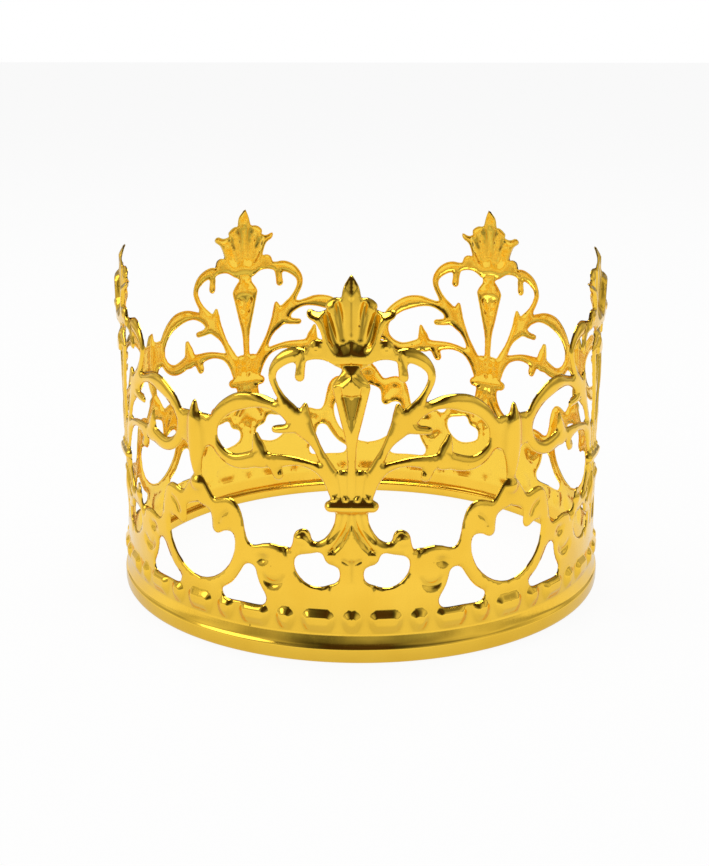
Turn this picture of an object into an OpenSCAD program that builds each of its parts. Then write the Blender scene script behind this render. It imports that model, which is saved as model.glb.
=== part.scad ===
/* [Ring] */
// outside radius of the wall (mm)
ring_radius = 65; // [52:0.5:78]
// height of the leaf tips above the table (mm)
crown_height = 94; // [78:0.5:112]
// thickness of the stamped sheet (mm)
sheet = 1; // [0.6:0.1:1.4]

/* [Base band] */
// height of the band up to the foot of the openwork (mm)
band_height = 12.8; // [11.6:0.1:16]
// how far the rolled hem stands out from the wall (mm)
hem_out = 1.3; // [0.8:0.1:2]
// height of the rolled hem (mm)
hem_height = 4.2; // [3.4:0.1:5]
// depth of the rolled hem from its outer face to the lip inside (mm)
hem_depth = 3.4; // [3.2:0.1:5]
// height of the lip that the hem turns up inside the ring (mm)
lip_height = 3; // [2.2:0.1:4]
// radius of the hem's outer foot (mm)
hem_round = 0.9; // [0.3:0.1:1.5]
// height of the cove between the hem and the bead row (mm)
cove_height = 3; // [1.5:0.1:3.4]

/* [Relief] */
// how far the beads and reels stand out of the band (mm)
bead_out = 1; // [0.4:0.1:1.4]
// half height of the beads and reels (mm)
bead_radius = 2; // [1.5:0.1:2.4]
// half length of a reel (mm)
reel_half = 3.75; // [2.8:0.05:4.2]
// plain strip between the bead row and the openwork (mm)
bead_margin = 0.4; // [0.2:0.1:0.8]
// how far the spindles between the peaks stand out of the wall (mm)
spindle_out = 1.2; // [0.5:0.1:1.8]
// how far the torch, leaf, collar and curl bosses stand out of the wall (mm)
boss_out = 1.1; // [0.4:0.1:1.3]

/* [Hidden] */
$fn = 96;
gold = [0.93, 0.74, 0.26];
// peaks round the ring
peaks = 5;
sector = 360 / peaks;
// degrees round the ring to a millimetre along the wall
turn = 180 / PI / ring_radius;
// the openwork is drawn for a 65 mm wall and 94 mm tips
draw_half = 40.84;
draw_foot = 12.8;
draw_tip = 94;
// how far cutters run past the wall and the tips (mm)
clear = 3;
// how far the drawing runs past the middle of a peak and of a spindle (mm)
past = 0.56;
// levels of the drawing between which it is cut out (mm)
cut_foot = 9;
cut_top = draw_tip + 2 * clear;
across = PI * ring_radius / peaks / draw_half;
up = (crown_height - band_height) / (draw_tip - draw_foot);
// how much the bosses grow with the drawing
grow = min(across, up);
// inset that joins the cut-outs into one flat pattern (mm)
inset = 0.01;
// radius of the blends where ribbons meet (mm)
blend = 0.25;
// how far neighbouring bays run into each other (degrees)
lap = 0.2;
// share of the sheet by which the inside of the cove lies under its outside
fold = 0.3;
// radius of the inside of the wall and level of the top of the cove (mm)
wall = ring_radius - sheet;
cove = hem_height + cove_height;
// how deep bosses are let into the wall (mm)
seat = sheet / 2;
// level of the middle of the bead row (mm)
bead_level = band_height - bead_margin - bead_radius;
// beads to a peak, with a reel between each two
beads = 5;
pitch = 2 * draw_half / beads;
// how far the straight line between two bay edges lies from the axis (mm)
chord_mid = ring_radius * cos(sector / 2);

// a drawn point, d along the wall from the middle of a peak and z up, laid on the flat of a bay
function lay(p) = [ring_radius * sin((draw_half - p[0]) * across * turn), level(p[1])];
function level(z) = band_height + (z - draw_foot) * up;

// smooth curve through a list of rows, m steps to a span
function knot_at(c, i) = c[max(0, min(len(c) - 1, i))];
function mid(a, b, c, d, t) = 0.5 * (2 * b + (c - a) * t + (2 * a - 5 * b + 4 * c - d) * t * t
    + (3 * b - a - 3 * c + d) * t * t * t);
function curve(c, m) = [for (i = [0 : len(c) - 2]) for (j = [0 : m - 1])
    mid(knot_at(c, i - 1), c[i], c[i + 1], knot_at(c, i + 2), j / m), c[len(c) - 1]];

// ribbon along rows of [d, z, half width]
function side(k, i, w) =
    let (a = k[max(0, i - 1)], b = k[min(len(k) - 1, i + 1)], t = [b[0] - a[0], b[1] - a[1]])
    [k[i][0] - w * t[1] / norm(t) * k[i][2], k[i][1] + w * t[0] / norm(t) * k[i][2]];
module ribbon(rows, m) {
    k = curve(rows, m);
    left = [for (i = [0 : len(k) - 1]) side(k, i, 1)];
    right = [for (i = [len(k) - 1 : -1 : 0]) side(k, i, -1)];
    polygon([for (p = concat(left, right)) lay(p)]);
}
module blob(b) {
    polygon([for (a = [0 : 30 : 359]) lay([b[0] + b[2] * cos(a), b[1] + b[2] * sin(a)])]);
}
module patch(points) {
    polygon([for (p = points) lay(p)]);
}

upper_scroll = [[3, 73.9, 0.9], [5.6, 75.5, 0.95], [8.4, 75.9, 1.1], [10.6, 75.6, 1.3], [12.8, 75.6, 1.7],
    [15, 75, 1.65], [17, 73.7, 1.45], [18.5, 71.8, 1.1], [18.8, 69.8, 0.95], [18.2, 68, 0.9],
    [17.2, 66.2, 0.95], [16, 64.4, 1.2], [14.6, 62.3, 1.9], [13.2, 60.2, 2.4]];
upper_hook = [[12.2, 75.4, 1.3], [11.8, 73.8, 1.2], [11.9, 72.2, 1.1], [12.1, 70.4, 1.1]];
stem = [[3.2, 42.5, 2], [3.6, 44, 1.9], [4.7, 47, 1.7], [6.2, 50, 1.35], [7.7, 53, 1.05], [9.2, 55.6, 1.4],
    [11, 58, 2.2], [12.6, 60, 2.5]];
thorn_up = [[11.2, 58.5, 2], [10.9, 60.6, 1.5], [10.95, 62.4, 1.15], [10.8, 63.9, 0.6]];
thorn_out = [[12.4, 58.8, 1.6], [14.6, 58, 1.15], [16.4, 57.7, 1.05], [18.3, 57.5, 0.95]];
big_scroll = [[13.2, 60.4, 2], [16.2, 62.2, 1.5], [19.7, 63.5, 1.25], [23.5, 64, 1.75], [27.4, 63.4, 2.1],
    [30.7, 61.9, 1.9], [33.4, 59.7, 1.7], [35.2, 56.8, 1.45], [35.5, 54, 1.4], [34.5, 51.6, 1.35],
    [32.4, 49.6, 1.5], [29.6, 48.6, 1.7], [26.8, 48.8, 1.95], [24.2, 49.6, 2], [22, 50, 1.8]];
leaf = [[22.2, 49.6, 2], [22.6, 52.4, 1.75], [23.1, 54.4, 1.05], [23.4, 55.9, 0.6]];
lower_branch = [[4, 43.6, 1.6], [4.6, 45, 1.6], [6.2, 47.2, 1.4], [8, 48.7, 1.15], [10, 49.5, 1], [12, 50, 1],
    [14, 50.2, 1.15], [16, 50.1, 1.4], [18, 49.9, 1.6], [20, 49.9, 1.7], [22.4, 50, 1.8]];
drop = [[19, 49.3, 1.3], [18.2, 47.6, 1.4], [17.7, 46.4, 1.3]];

cup = [[-past, draw_tip + clear], [0.35, draw_tip + clear], [0.35, draw_tip], [0.8, draw_tip - 1],
    [1.6, draw_tip - 2.2], [2, draw_tip - 3.4], [2.2, draw_tip - 4.7], [2.4, draw_tip - 5.6], [3, 88.7],
    [3.9, 88.5], [4.9, 88], [5.7, 87.4], [6, 86.9], [5.6, 86.5], [5.3, 86.1], [6.2, 85.7], [7.2, 85.2],
    [8.6, 85.3], [9.4, 85.8], [9.9, 85.6], [9.8, 84.9], [9.2, 84.3], [8.2, 83.8], [7.6, 82.9], [7.2, 81.5],
    [6.7, 80], [6.3, 78.5], [5.9, 76.6], [4.4, 74.4], [2.4, 72.8], [-past, 72.8]];
torch = [[-past, 73.4], [2.4, 73.1], [2.1, 72.2], [2.6, 71.3], [3.6, 70], [4.3, 68.9], [4.5, 68.3],
    [4.2, 67], [3.6, 64.6], [2.9, 61.6], [2.2, 58.8], [1.6, 56.5], [1.2, 54], [1.05, 50], [1, 42],
    [-past, 42]];
bunch = [[-past, 40.5], [4.3, 40.5], [4.4, 42.6], [4.9, 44.3], [4.6, 46.5], [3, 48.3], [2.2, 48.6],
    [1, 48.3], [-past, 48.3]];
collar = [[-past, 38.2], [5.2, 38.2], [5.9, 38.5], [6.4, 39.1], [6.5, 39.7], [6.3, 40.4], [5.8, 40.9],
    [5.2, 41.1], [-past, 41.1]];

plate_top = [[-past, 38.5], [3.8, 38.5], [3.9, 37], [4.1, 35.5], [4.7, 34], [5.5, 32.6], [6.5, 31.4],
    [7.6, 30.7], [8.6, 30.4], [9.5, 30.6], [9.8, 31.5], [10, 32.6], [10.7, 33.4], [11.8, 33.6],
    [12.9, 33.3], [13.7, 32.6], [14.1, 31.6], [14.3, 30.1], [14.7, 28.8], [15.4, 28.2], [16.9, 28.5],
    [18.4, 28.9], [20.1, 29.1], [22, 28.8], [23.7, 28.2], [25, 28.1], [25.8, 28.6], [26.4, 29.8],
    [26.8, 31.4], [27.2, 33.5], [27.7, 35.5], [28.3, 37], [29.3, 38.2], [30.5, 38.9], [31.7, 39.1],
    [33.2, 38.8], [34.6, 38.3], [35.4, 38.1], [36.1, 38.7], [36.9, 39.8], [37.7, 41], [38.4, 42],
    [39.4, 43], [draw_half + past, 43.2]];
bean = [[13.8, 26], [12.8, 26.9], [11.4, 27.2], [9.6, 27.5], [8.2, 27.9], [7.2, 27.7], [6.7, 26.8],
    [6.4, 25.8], [5.6, 25], [4.2, 24.6], [3.2, 24], [2.9, 23], [2.9, 21.8], [3.3, 20.8], [4.2, 20.2],
    [5.5, 19.7], [7.2, 19.2], [8.7, 19.1], [10.1, 19.4], [11.5, 20.2], [12.7, 21.4], [13.6, 22.8],
    [14, 24.4]];
wedge = [[27.3, 22.4], [26.4, 23], [25.4, 23.1], [24.5, 22.7], [24, 21.8], [23.8, 20.5], [23.3, 18.8],
    [22.5, 17.2], [21.6, 15.8], [21.3, 14.8], [21.6, 13.6], [22.4, 12.9], [24, 12.8], [28, 12.9],
    [31.6, 12.8], [32.8, 13], [33.5, 13.7], [33.9, 14.8], [33.6, 15.5], [32.4, 16.2], [31, 17.2],
    [29.6, 18.8], [28.4, 20.6]];
c_ring = [[draw_half + 2 * past, 35.9], [40, 35.9], [38.6, 35.5], [37.3, 34.9], [36.6, 34], [36.4, 32],
    [36.4, 30.6], [36, 29.7], [35, 29.2], [33.9, 29.6], [33, 30.2], [31.8, 30.5], [30.6, 30.4], [29.9, 29.6],
    [29.7, 28], [29.9, 26], [30.5, 24], [31.5, 22], [33, 20.2], [34.6, 18.8], [36.6, 17.6],
    [38.6, 16.9], [40, 16.8], [draw_half + 2 * past, 16.8]];
knot = [[9.6, 57], [11.4, 56.6], [13, 57.4], [14.6, 59.2], [15.4, 60.6], [14.6, 62.4], [12.6, 61.6],
    [10.4, 60]];
web = [[34.8, 57.8], [36.6, 59], [38.6, 59], [39.4, 59.2], [40, 61], [40.3, 62], [draw_half + past, 62],
    [draw_half + past, 42.8], [39.6, 42.8], [39.5, 44], [39.3, 45.6], [39, 47.4], [38.5, 49.2], [37.8, 50.6],
    [36.6, 51.1], [34.8, 51]];
// level down to which the plate runs into the band
plate_foot = 8;
// discs of the drawing, [d, z, radius]
hook_end = [12.2, 70.3, 1.3];
berry_disc = [7.9, 77.5, 1.9];
thorn_end = [18.3, 57.5, 0.95];
drop_end = [17.7, 46.4, 1.3];
// balls, [d, z, radius]
berry = [7.9, 77.6, 1.5];
curl_ball = [12, 31.3, 1.7];
foot_ball = [draw_half, 40.6, 1.8];
// bar and spindle, [z, half length, half width]
collar_bar = [39.65, 5.9, 1.1];
spindle_boss = [53, 8.6, 2.2];
// four-sided bosses, [top, shoulder, bottom, peak]
torch_gem = [70.8, [2.3, 68.2], 57.4, 67.6];
leaf_gem = [draw_tip - 1, [1.2, draw_tip - 3.6], 80, draw_tip - 3.6];

// half a bay, from the middle of a peak to the spindle
module half_bay() {
    difference() {
        union() {
            ribbon(upper_scroll, 2);
            ribbon(upper_hook, 1);
            blob(hook_end);
            blob(berry_disc);
            ribbon(stem, 1);
            ribbon(thorn_up, 1);
            ribbon(thorn_out, 1);
            blob(thorn_end);
            ribbon(big_scroll, 2);
            ribbon(leaf, 1);
            ribbon(lower_branch, 1);
            ribbon(drop, 1);
            blob(drop_end);
            patch(cup);
            patch(torch);
            patch(bunch);
            patch(collar);
            patch(knot);
            patch(web);
            patch(concat(plate_top, [[draw_half + past, plate_foot], [-past, plate_foot]]));
        }
        patch(bean);
        patch(wedge);
        patch(c_ring);
    }
}
// what is pierced and cut away within one bay
module cut_flat() {
    edge = lay([-past, 0])[0];
    offset(delta = -inset)
        difference() {
            translate([-edge, level(cut_foot)]) square([2 * edge, level(cut_top) - level(cut_foot)]);
            offset(delta = -blend)
                offset(delta = blend) {
                    half_bay();
                    mirror([1, 0]) half_bay();
                }
        }
}

// section of the ring: wall, cove, rolled hem and the lip inside it
module ring_section() {
    hem = ring_radius + hem_out;
    lip = hem - hem_depth;
    drop = sheet * fold;
    difference() {
        union() {
            translate([lip, 0]) square([hem_depth - hem_round, hem_height]);
            translate([hem - hem_round, hem_round]) circle(r = hem_round, $fn = 12);
            translate([lip, hem_round]) square([hem_depth, hem_height - hem_round]);
            polygon([[wall, hem_height], [hem, hem_height], [ring_radius, cove], [wall, cove]]);
            translate([wall, hem_height]) square([sheet, crown_height - hem_height]);
        }
        polygon([[lip - clear, lip_height], [lip + sheet, lip_height], [lip + sheet, sheet],
            [hem - sheet, sheet], [hem - sheet, hem_height - drop], [wall, cove - drop],
            [lip - clear, cove - drop]]);
    }
}
// the ring from peak k to the next with its openwork, a little over so that neighbours join
module bay(k) {
    difference() {
        rotate_extrude(angle = sector + 2 * lap, start = k * sector - 90 - lap) ring_section();
        rotate([0, 0, (k + 0.5) * sector])
            translate([0, clear - chord_mid, 0])
                rotate([90, 0, 0])
                    linear_extrude(height = ring_radius + 2 * clear - chord_mid)
                        cut_flat();
    }
}

// a place on the wall, level z above the table; the z axis of what stands there points outward
module at_level(d, level) {
    rotate([0, 0, d * across * turn])
        translate([0, -ring_radius, level])
            rotate([90, 0, 0])
                children();
}
module at_wall(d, z) {
    at_level(d, level(z)) children();
}
// radius of the round that stands out by o over a half width w
function swell(w, o) = (w * w + o * o) / (2 * o);
module ball(w, o) {
    r = swell(w, o);
    rotate_extrude()
        intersection() {
            translate([0, o - r]) circle(r = r);
            translate([0, -seat]) square([2 * r, o + 2 * seat]);
        }
}
// bar with round ends, half long in all
module bar(half, w, o) {
    r = swell(w, o);
    run = half - w;
    intersection() {
        translate([0, 0, o - r])
            rotate([0, 90, 0])
                rotate_extrude()
                    intersection() {
                        union() {
                            square([2 * r, 2 * run], center = true);
                            for (s = [-1, 1]) translate([0, s * run]) circle(r = r);
                        }
                        translate([0, -run - 2 * r]) square([2 * r, 2 * run + 4 * r]);
                    }
        translate([-run - 2 * r, -2 * r, -seat]) cube([2 * run + 4 * r, 4 * r, o + 2 * seat]);
    }
}
// four-sided boss with one peak, over a foot with its top, shoulder and bottom points
module gem(g) {
    x = g[1][0] * across;
    y = g[1][1] * up;
    polyhedron(
        points = [[0, g[0] * up, -seat], [x, y, -seat], [0, g[2] * up, -seat], [-x, y, -seat],
            [0, g[3] * up, boss_out]],
        faces = [[0, 1, 4], [1, 2, 4], [2, 3, 4], [3, 0, 4], [3, 2, 1, 0]]);
}
module spindle(half, w) {
    arc = (half * half + w * w) / (2 * w);
    intersection() {
        translate([0, 0, spindle_out - w])
            rotate([90, 0, 0])
                rotate_extrude()
                    intersection() {
                        translate([w - arc, 0]) circle(r = arc);
                        translate([0, -half]) square([w, 2 * half]);
                    }
        translate([-w, -half, -seat]) cube([2 * w, 2 * half, spindle_out + 2 * seat]);
    }
}
// relief of one peak, with the spindle to its right
module relief() {
    for (s = [-1, 1]) {
        at_wall(s * berry[0], berry[1]) ball(berry[2] * grow, boss_out);
        at_wall(s * curl_ball[0], curl_ball[1]) ball(curl_ball[2] * grow, boss_out);
    }
    at_wall(0, collar_bar[0]) bar(collar_bar[1] * grow, collar_bar[2] * grow, boss_out);
    at_wall(0, 0) gem(torch_gem);
    at_wall(0, 0) gem(leaf_gem);
    at_wall(draw_half, spindle_boss[0]) spindle(spindle_boss[1] * up, spindle_boss[2] * across);
    at_wall(foot_ball[0], foot_ball[1]) ball(foot_ball[2] * grow, boss_out);
    for (k = [0 : beads - 1]) {
        at_level((k - (beads - 1) / 2) * pitch, bead_level) ball(bead_radius, bead_out);
        at_level((k - beads / 2 + 1) * pitch, bead_level) bar(reel_half, bead_radius, bead_out);
    }
}

module crown() {
    color(gold)
        for (k = [0 : peaks - 1]) {
            bay(k);
            rotate([0, 0, k * sector]) relief();
        }
}

crown();
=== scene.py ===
import math

import bpy
import numpy as np
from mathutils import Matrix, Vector, kdtree
from mathutils.geometry import delaunay_2d_cdt


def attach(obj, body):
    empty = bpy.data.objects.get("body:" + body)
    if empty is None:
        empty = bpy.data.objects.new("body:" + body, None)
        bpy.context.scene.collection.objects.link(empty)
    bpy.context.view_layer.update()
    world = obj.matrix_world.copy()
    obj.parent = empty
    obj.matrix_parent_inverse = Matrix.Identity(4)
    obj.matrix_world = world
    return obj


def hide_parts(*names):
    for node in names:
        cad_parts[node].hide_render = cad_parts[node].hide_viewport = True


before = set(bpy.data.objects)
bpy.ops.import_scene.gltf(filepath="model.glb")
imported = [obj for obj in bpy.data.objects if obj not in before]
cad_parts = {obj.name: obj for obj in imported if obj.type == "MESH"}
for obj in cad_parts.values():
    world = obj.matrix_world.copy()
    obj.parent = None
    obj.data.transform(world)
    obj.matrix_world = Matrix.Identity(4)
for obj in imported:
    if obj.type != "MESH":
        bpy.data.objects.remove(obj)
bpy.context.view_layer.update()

# sizes in millimetres; the openwork is drawn flat, s along the wall from a peak's centre line and z up

# the wall, the peaks round it, the foot of the sheet and the top of the drawing
RADIUS = 65.0
PANELS = 5
HALF = math.pi * RADIUS / PANELS
BAND_TOP = 7.4
TIP = 94.6
SHEET = 0.4
# the sheet's rounded edge, and a softer crown that runs further in and is weaker on the plate under the collars
EDGE_ROUND = 0.5
EDGE_DROP = 0.5
CROWN_WIDTH = 2
CROWN_DROP = 0.36
PLATE_SHARE = 0.45
# level at which that crown sets in or ends, and the rise over which it does: above the band, the plate, under the cup
BAND_FLAT = (14, 3)
PLATE_FLAT = (42, 4)
CUP_FLAT = (74, 1.5)
CUP_WIDTH = 11
# the rim: how far it stays above the edge's foot, and how its shading leans along the sheet and out of the wall
RIM_LIFT = 0.02
RIM_LEAN = (0.97, 0.24)
# the drawing's grid, and passes of softening on the outline, the face, its back and the measure of creases
GRID_STEPS = 204
STEP = HALF / GRID_STEPS
OUTLINE_SOFT = 3
FACE_SOFT = 6
BACK_SOFT = 120
CREASE_SOFT = 90
# how much of a boss shows behind, and the depth at which a crease gets its darkest painted shade
BACK_SHARE = 0.45
CREASE_DEPTH = 0.6
# fillets where ribbons, patches and windows meet the rest
RIBBON_BLEND = 0.7
PATCH_BLEND = 0.5
WINDOW_BLEND = 0.3
# spacing of mesh points: on the outline, for measuring distances to it, up the open ends, and along creases
RIM_GAP = 0.62
DENSE_GAP = 0.03
END_GAP = 0.9
CREASE_GAP = 0.45
FACET_GAP = 0.4
HEM_COLUMNS = 35
# least gap between crease points, and their least distance from the outline
CREASE_LEAST = 0.26
CREASE_OFF = 0.3
# how far mesh points stay off the sides and the foot of the half: rows along the outline, then all others
ROW_CLEAR = (0.12, 0.2)
FILL_CLEAR = (0.25, 0.35)

# ribbons of half a peak: rows of s, z, half width
RIBBONS = [
    [(3, 73.9, .9), (5.6, 75.5, .95), (8.4, 75.9, 1.1), (10.6, 75.6, 1.3), (12.8, 75.6, 1.7), (15, 75, 1.65),
     (17, 73.7, 1.45), (18.5, 71.8, 1.1), (18.8, 69.8, .95), (18.2, 68, .9), (17.2, 66.2, .95), (16, 64.4, 1.2),
     (14.6, 62.3, 1.9), (13.2, 60.2, 2.4)],
    [(12.2, 75.4, 1.3), (11.8, 73.8, 1.2), (11.9, 72.2, 1.1), (12.1, 70.4, 1.2)],
    [(3.2, 42.5, 2), (3.6, 44, 1.9), (4.7, 47, 1.7), (6.2, 50, 1.35), (7.7, 53, 1.05), (9.2, 55.6, 1.4),
     (11, 58, 2.2), (12.6, 60, 2.5)],
    [(11.2, 58.5, 2), (10.9, 60.6, 1.5), (10.95, 62.4, 1.15), (10.8, 63.9, .6)],
    [(12.4, 58.8, 1.6), (14.6, 58, 1.15), (16.4, 57.7, 1.05), (18.3, 57.5, .95)],
    [(13.2, 60.4, 2), (16.2, 62.2, 1.5), (19.7, 63.5, 1.25), (23.5, 64, 1.75), (27.4, 63.4, 2.1),
     (30.7, 61.9, 1.9), (33.4, 59.7, 1.7), (35.2, 56.8, 1.45), (35.5, 54, 1.4), (34.5, 51.6, 1.35),
     (32.4, 49.6, 1.5), (29.6, 48.6, 1.7), (26.8, 48.8, 1.95), (24.2, 49.6, 2), (22, 50, 1.8)],
    [(22.2, 49.6, 2), (22.6, 52.4, 1.75), (23.1, 54.4, 1.05), (23.4, 55.9, .6)],
    [(4, 43.6, 1.6), (4.6, 45, 1.6), (6.2, 47.2, 1.4), (8, 48.7, 1.15), (10, 49.5, 1), (12, 50, 1),
     (14, 50.2, 1.15), (16, 50.1, 1.4), (18, 49.9, 1.6), (20, 49.9, 1.7), (22.4, 50, 1.8)],
    [(19, 49.3, 1.3), (18.2, 47.6, 1.4), (17.7, 46.4, 1.3)],
]
# balls beside the cup: s, z, radius
BLOBS = [(7.9, 77.5, 1.9)]
# closed outlines: cup and leaf, torch, bunch, collar, fork, spindle, and the plate with the bell on it
PATCHES = [
    [(-3, 94), (0, 94.2), (.8, 93), (1.6, 91.8), (2, 90.6), (2.2, 89.3), (2.4, 88.5), (3, 88.9), (4, 88.8),
     (5, 88.3), (5.8, 87.6), (6.2, 86.9), (5.9, 86.4), (5.4, 86.1), (6.2, 85.9), (7.2, 85.5), (8.4, 85.7), (9.3, 86.2),
     (10, 86.2), (10.3, 85.5), (10.1, 84.7), (9.4, 84), (8.4, 83.5), (7.7, 82.7), (7.2, 81.5), (6.7, 80), (6.3, 78.5),
     (5.9, 76.6), (4.4, 74.4), (2.4, 72.8), (-3, 72.8)],
    [(-3, 73.4), (2.4, 73.1), (2.1, 72.2), (2.6, 71.3), (3.6, 70), (4.3, 68.9), (4.5, 68.3), (4.2, 67), (3.6, 64.6),
     (2.9, 61.6), (2.2, 58.8), (1.6, 56.5), (1.2, 54), (1.05, 50), (1, 42), (-3, 42)],
    [(-3, 40.5), (4.3, 40.5), (4.4, 42.6), (4.9, 44.3), (4.6, 46.5), (3, 48.3), (2.2, 48.6), (1, 48.3), (-3, 48.3)],
    [(-3, 38.2), (5.2, 38.2), (5.9, 38.5), (6.4, 39.1), (6.5, 39.7), (6.3, 40.4), (5.8, 40.9), (5.2, 41.1), (-3, 41.1)],
    [(9.6, 57), (11.4, 56.6), (13, 57.4), (14.6, 59.2), (15.4, 60.6), (14.6, 62.4), (12.6, 61.6), (10.4, 60)],
    [(34.8, 57.8), (36.6, 59), (38.6, 59), (39.4, 59.2), (40, 61), (40.3, 61.8), (44, 64.5), (44, 42.8), (39.6, 42.8),
     (39.5, 44), (39.3, 45.6), (39, 47.4), (38.5, 49.2), (37.8, 50.6), (36.6, 51.1), (34.8, 51)],
    [(-3, 38.5), (3.8, 38.5), (3.9, 37), (4.1, 35.5), (4.7, 34), (5.5, 32.6), (6.5, 31.4), (7.6, 30.7), (8.6, 30.4),
     (9.5, 30.6), (9.8, 31.5), (10, 32.6), (10.7, 33.4), (11.8, 33.6), (12.9, 33.3), (13.7, 32.6), (14.1, 31.6),
     (14.3, 30.1), (14.7, 28.8), (15.4, 28.2), (16.9, 28.5), (18.4, 28.9), (20.1, 29.1), (22, 28.8), (23.7, 28.2),
     (25, 28.1), (25.8, 28.6), (26.4, 29.8), (26.8, 31.4), (27.2, 33.5), (27.7, 35.5), (28.3, 37), (29.3, 38.2),
     (30.5, 38.9), (31.7, 39.1), (33.2, 38.8), (34.6, 38.3), (35.4, 38.1), (36.1, 38.7), (36.9, 39.8), (37.7, 41),
     (38.4, 42), (39.4, 43), (44, 43.2), (44, 2), (-3, 2)],
]
# openings in the plate
WINDOWS = [
    [(13.8, 26), (12.8, 26.9), (11.4, 27.2), (9.6, 27.5), (8.2, 27.9), (7.2, 27.7), (6.7, 26.8), (6.4, 25.8), (5.6, 25),
     (4.2, 24.6), (3.2, 24), (2.9, 23), (2.9, 21.8), (3.3, 20.8), (4.2, 20.2), (5.5, 19.7), (7.2, 19.2), (8.7, 19.1),
     (10.1, 19.4), (11.5, 20.2), (12.7, 21.4), (13.6, 22.8), (14, 24.4)],
    [(27.3, 22.4), (26.4, 23), (25.4, 23.1), (24.5, 22.7), (24, 21.8), (23.8, 20.5), (23.3, 18.8), (22.5, 17.2),
     (21.6, 15.8), (21.3, 14.8), (21.6, 13.6), (22.4, 12.9), (24, 12.8), (28, 12.9), (31.6, 12.8), (32.8, 13),
     (33.5, 13.7), (33.9, 14.8), (33.6, 15.5), (32.4, 16.2), (31, 17.2), (29.6, 18.8), (28.4, 20.6)],
    [(44, 36.7), (40, 35.9), (38.6, 35.5), (37.3, 34.9), (36.6, 34), (36.4, 32), (36.4, 30.6), (36, 29.7), (35, 29.2),
     (33.9, 29.6), (33, 30.2), (31.8, 30.5), (30.6, 30.4), (29.9, 29.6), (29.7, 28), (29.9, 26), (30.5, 24),
     (31.5, 22), (33, 20.2), (34.6, 18.8), (36.6, 17.6), (38.6, 16.9), (40, 16.7), (44, 15.9)],
]

# section of the cove, the rolled hem and the lip inside it, from the front of the band round to its back
HEM = [
    (65, 7.1), (65.11, 6.7), (65.24, 6.2), (65.38, 5.7), (65.53, 5.2), (65.69, 4.7), (65.87, 4.32), (66.12, 4.1),
    (66.25, 3.85), (66.3, 3.5),
    (66.3, 2.4), (66.3, 1.2), (66.22, .7), (66, .32), (65.6, .08), (65.1, 0), (64.3, 0), (63.6, .02), (63.2, .14),
    (62.97, .42), (62.9, .9), (62.9, 2.3), (62.96, 2.7), (63.14, 2.93), (63.4, 3), (63.7, 2.94), (63.95, 2.96),
    (64.15, 3.15), (64.3, 3.6), (64.42, 4.4), (64.52, 5.4), (64.6, 6.4),
]


def smooth(rows, steps):
    """Points on a smooth curve through the rows."""
    rows = np.array(rows, float)
    pad = np.vstack([rows[:1], rows, rows[-1:]])
    out = []
    for i in range(len(rows) - 1):
        a, b, c, d = pad[i:i + 4]
        for t in np.arange(steps) / steps:
            out.append(.5 * (2 * b + (c - a) * t + (2 * a - 5 * b + 4 * c - d) * t * t
                             + (3 * b - a - 3 * c + d) * t ** 3))
    out.append(rows[-1])
    return np.array(out)


def along(x, z, a, b):
    """Share of the way from a to b, and the distance to that stretch."""
    ex, ez = b[0] - a[0], b[1] - a[1]
    t = np.clip(((x - a[0]) * ex + (z - a[1]) * ez) / (ex * ex + ez * ez), 0, 1)
    return t, np.hypot(x - a[0] - t * ex, z - a[1] - t * ez)


def ribbon_field(x, z, rows):
    """How far a place lies inside a ribbon."""
    line = smooth(rows, 5)
    best = np.full(x.shape, -60.0)
    for a, b in zip(line[:-1], line[1:]):
        t, gap = along(x, z, a, b)
        best = np.maximum(best, a[2] + (b[2] - a[2]) * t - gap)
    return best


def patch_field(x, z, points):
    """How far a place lies inside a closed outline."""
    gap = np.full(x.shape, 60.0)
    inside = np.zeros(x.shape, bool)
    for a, b in zip(points, points[1:] + points[:1]):
        gap = np.minimum(gap, along(x, z, a, b)[1])
        if a[1] != b[1]:
            cross = a[0] + (z - a[1]) / (b[1] - a[1]) * (b[0] - a[0])
            inside ^= ((z < a[1]) != (z < b[1])) & (x < cross)
    return np.where(inside, gap, -gap)


def join(a, b, blend):
    """Union of two fields with a fillet where they meet."""
    h = np.maximum(blend - np.abs(a - b), 0) / blend
    return np.maximum(a, b) + h * h * blend / 4


def soften(field, passes):
    """Takes the corners off a field, with both side edges as mirrors."""
    for _ in range(passes):
        for axis in (0, 1):
            pad = np.pad(field, [(1, 1) if axis == 0 else (0, 0), (1, 1) if axis == 1 else (0, 0)], mode="reflect")
            n = field.shape[axis]
            parts = [np.take(pad, np.arange(k, n + k), axis=axis) for k in range(3)]
            field = .25 * parts[0] + .5 * parts[1] + .25 * parts[2]
    return field


def half_field():
    """Field of half a peak on a grid, positive where there is metal."""
    s = np.arange(GRID_STEPS + 1) * STEP
    z = np.arange(BAND_TOP, TIP + 1, STEP)
    x, y = np.meshgrid(s, z, indexing="ij")
    field = np.full(x.shape, -60.0)
    for rows in RIBBONS:
        field = join(field, ribbon_field(x, y, rows), RIBBON_BLEND)
    for c in BLOBS:
        field = join(field, c[2] - np.hypot(x - c[0], y - c[1]), RIBBON_BLEND)
    for points in PATCHES:
        field = join(field, patch_field(x, y, points), PATCH_BLEND)
    for points in WINDOWS:
        field = -join(-field, patch_field(x, y, points), WINDOW_BLEND)
    return s, z, soften(field, OUTLINE_SOFT)


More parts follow.
